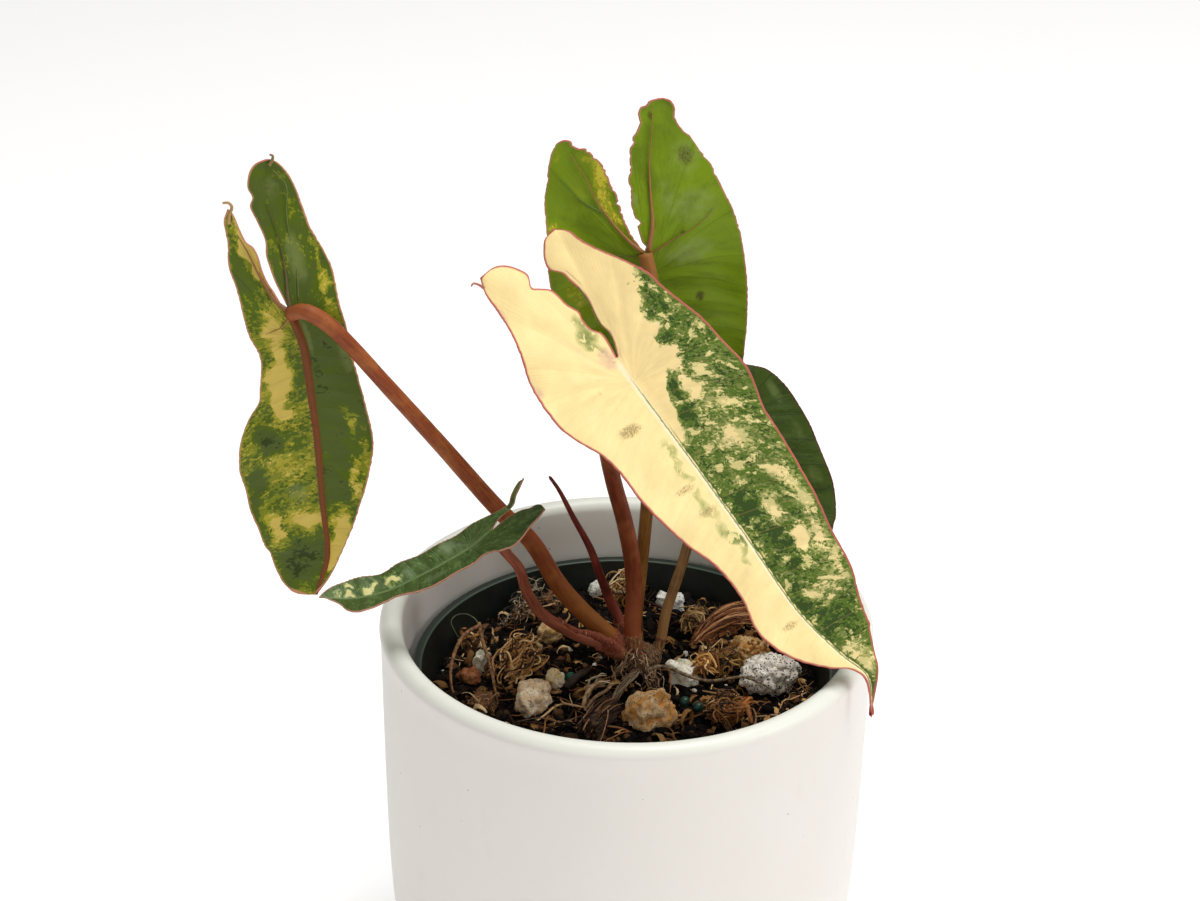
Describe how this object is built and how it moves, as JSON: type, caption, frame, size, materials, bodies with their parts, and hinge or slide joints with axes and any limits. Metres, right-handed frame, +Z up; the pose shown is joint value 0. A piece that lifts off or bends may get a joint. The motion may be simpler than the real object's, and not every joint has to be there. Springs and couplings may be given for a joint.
{
  "type": "potted philodendron",
  "caption": "Variegated arrow-leaved philodendron in a nursery pot inside a plain white cylindrical pot, free-standing.",
  "frame": {"origin": "centre of the outer pot's flat underside", "axes": "+Z up along the pot's axis, X along the spread from the left leaf to the front leaf's tip, Y away from the viewer"},
  "size_m": [0.1926, 0.15, 0.2883],
  "materials": {
    "bark_dark": "rough fibrous",
    "chip_white_back": "rough mineral",
    "chip_white_centre": "rough mineral",
    "chip_white_far": "rough mineral",
    "chip_white_left": "rough mineral",
    "crown": "smooth living stalk",
    "fibre_bundle": "rough fibrous",
    "husk_chunk_centre": "rough fibrous",
    "husk_chunk_front_left": "rough fibrous",
    "husk_chunk_left": "rough fibrous",
    "husk_chunk_left_edge": "rough fibrous",
    "husk_chunk_orange": "rough fibrous",
    "husk_clump_back": "rough fibrous",
    "husk_clump_back_left": "rough fibrous",
    "husk_ruffle": "rough fibrous",
    "leaf_back": "waxy living leaf",
    "leaf_front": "waxy living leaf",
    "leaf_left": "waxy living leaf",
    "leaf_right": "waxy living leaf",
    "leaf_small": "waxy living leaf",
    "liner_pot": "satin moulded",
    "new_leaf_spear": "smooth living stalk",
    "outer_pot": "matt glazed white",
    "pebble_cream": "rough mineral",
    "perlite_speckled": "rough mineral",
    "petiole_back": "smooth living stalk",
    "petiole_front": "smooth living stalk",
    "petiole_left": "smooth living stalk",
    "petiole_right": "smooth living stalk",
    "petiole_small": "smooth living stalk",
    "prill_left": "coated feed grain",
    "prill_right": "coated feed grain",
    "prill_right_front": "coated feed grain",
    "rock_granular": "rough mineral",
    "soil": "loose damp mix",
    "stone_red_brown": "rough mineral",
    "stone_tan_back": "rough mineral",
    "stone_tan_front": "rough mineral",
    "stone_two_lobed": "rough mineral"
  },
  "bodies": {
    "root": {"bark_dark": "bark_dark", "chip_white_back": "chip_white_back", "chip_white_centre": "chip_white_centre", "chip_white_far": "chip_white_far", "chip_white_left": "chip_white_left", "crown": "crown", "fibre_bundle": "fibre_bundle", "husk_chunk_centre": "husk_chunk_centre", "husk_chunk_front_left": "husk_chunk_front_left", "husk_chunk_left": "husk_chunk_left", "husk_chunk_left_edge": "husk_chunk_left_edge", "husk_chunk_orange": "husk_chunk_orange", "husk_clump_back": "husk_clump_back", "husk_clump_back_left": "husk_clump_back_left", "husk_ruffle": "husk_ruffle", "leaf_back": "leaf_back", "leaf_front": "leaf_front", "leaf_left": "leaf_left", "leaf_right": "leaf_right", "leaf_small": "leaf_small", "liner_pot": "liner_pot", "new_leaf_spear": "new_leaf_spear", "outer_pot": "outer_pot", "pebble_cream": "pebble_cream", "perlite_speckled": "perlite_speckled", "petiole_back": "petiole_back", "petiole_front": "petiole_front", "petiole_left": "petiole_left", "petiole_right": "petiole_right", "petiole_small": "petiole_small", "prill_left": "prill_left", "prill_right": "prill_right", "prill_right_front": "prill_right_front", "rock_granular": "rock_granular", "soil": "soil", "stone_red_brown": "stone_red_brown", "stone_tan_back": "stone_tan_back", "stone_tan_front": "stone_tan_front", "stone_two_lobed": "stone_two_lobed"}
  },
  "joints": []
}
